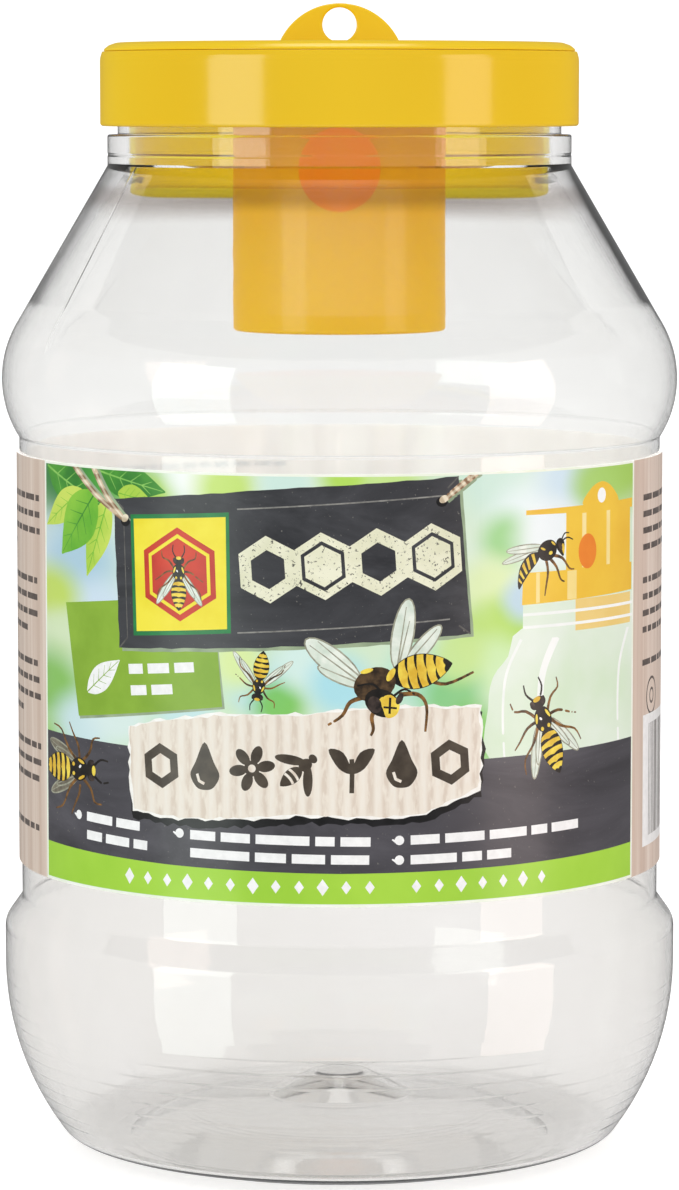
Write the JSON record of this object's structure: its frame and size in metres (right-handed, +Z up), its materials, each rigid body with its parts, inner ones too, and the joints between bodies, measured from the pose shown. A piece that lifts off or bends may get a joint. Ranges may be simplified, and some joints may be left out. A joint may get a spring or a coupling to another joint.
{
  "type": "wasp trap",
  "caption": "Clear screw-neck jar with a wrap label and a yellow screw lid; a pull-up entry tube with a round hole carries a flat roof disc and a hanging eye.",
  "frame": {"origin": "centre of the base, in the plane that the jar stands on", "axes": "+Z up along the jar's axis; the entrance hole and the front of the label face -Y"},
  "size_m": [0.1058, 0.1058, 0.179],
  "materials": {
    "clear_pet": "clear blown PET",
    "label_print": "printed plastic film",
    "insert_yellow": "moulded, satin",
    "lid_yellow": "moulded, satin",
    "tower_yellow": "moulded, slightly see-through"
  },
  "bodies": {
    "jar": {"jar": "clear_pet", "label": "label_print"},
    "insert": {"plug_insert": "insert_yellow"},
    "ring": {"screw_ring": "lid_yellow"},
    "tower": {"entry_tube": "tower_yellow", "roof_disc": "lid_yellow", "hanging_eye": "lid_yellow"}
  },
  "joints": [
    {"name": "lid_lift", "type": "slide", "parent": "jar", "child": "insert", "axis": [0, 0, 1], "range_m": [0, 0.0063]},
    {"name": "lid_turn", "type": "hinge", "parent": "insert", "child": "ring", "pos_m": [0, 0, 0.1687], "axis": [0, 0, 1], "range_deg": [0, 540]},
    {"name": "tower_slide", "type": "slide", "parent": "insert", "child": "tower", "axis": [0, 0, 1], "range_m": [0, 0.0248]}
  ],
  "couplings": [
    {"joint": "lid_lift", "follows": "lid_turn", "m_per_rad": 0.00066845}
  ]
}
